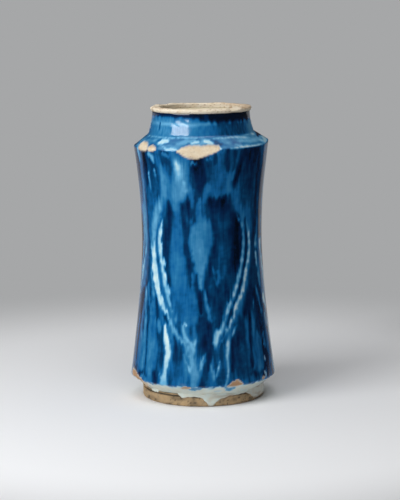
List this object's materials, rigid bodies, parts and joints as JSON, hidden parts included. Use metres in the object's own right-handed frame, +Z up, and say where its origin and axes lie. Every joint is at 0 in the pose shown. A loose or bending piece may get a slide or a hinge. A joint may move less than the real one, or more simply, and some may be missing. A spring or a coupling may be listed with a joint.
{
  "type": "drug jar",
  "caption": "Waisted glazed earthenware drug jar (albarello) with a turned foot, angular shoulder, short neck and wide mouth, painted in cobalt medallions.",
  "frame": {"origin": "centre of the foot's standing face, on the jar's axis", "axes": "+Z up the jar's axis towards the mouth, -Y towards the front medallion, +X to the right seen from the front"},
  "size_m": [0.1412, 0.1412, 0.282],
  "materials": {
    "bare_clay": "matte fired clay",
    "lip_clay": "worn fired clay with traces of glaze",
    "slip": "matte fired slip",
    "ground_glaze": "glossy white glaze",
    "lining_glaze": "thin stained glaze",
    "cobalt_glaze": "glossy runny cobalt glaze"
  },
  "bodies": {
    "root": {"foot_ring": "bare_clay", "floor_disc": "bare_clay", "lower_wall": "bare_clay", "upper_wall": "bare_clay", "shoulder_ring": "bare_clay", "neck_collar": "bare_clay", "foot_slip": "slip", "waist_slip": "slip", "shoulder_slip": "slip", "neck_slip": "slip", "lip_slip": "slip", "rim_lip": "lip_clay", "white_ground": "ground_glaze", "inner_glaze": "lining_glaze", "foot_glaze_runs": "ground_glaze", "cobalt_neck_band": "cobalt_glaze", "cobalt_shoulder_band": "cobalt_glaze", "cobalt_field": "cobalt_glaze", "front_medallion": "cobalt_glaze", "right_medallion": "cobalt_glaze", "left_medallion": "cobalt_glaze", "front_outline": "cobalt_glaze", "right_outline": "cobalt_glaze", "left_outline": "cobalt_glaze"}
  },
  "joints": []
}
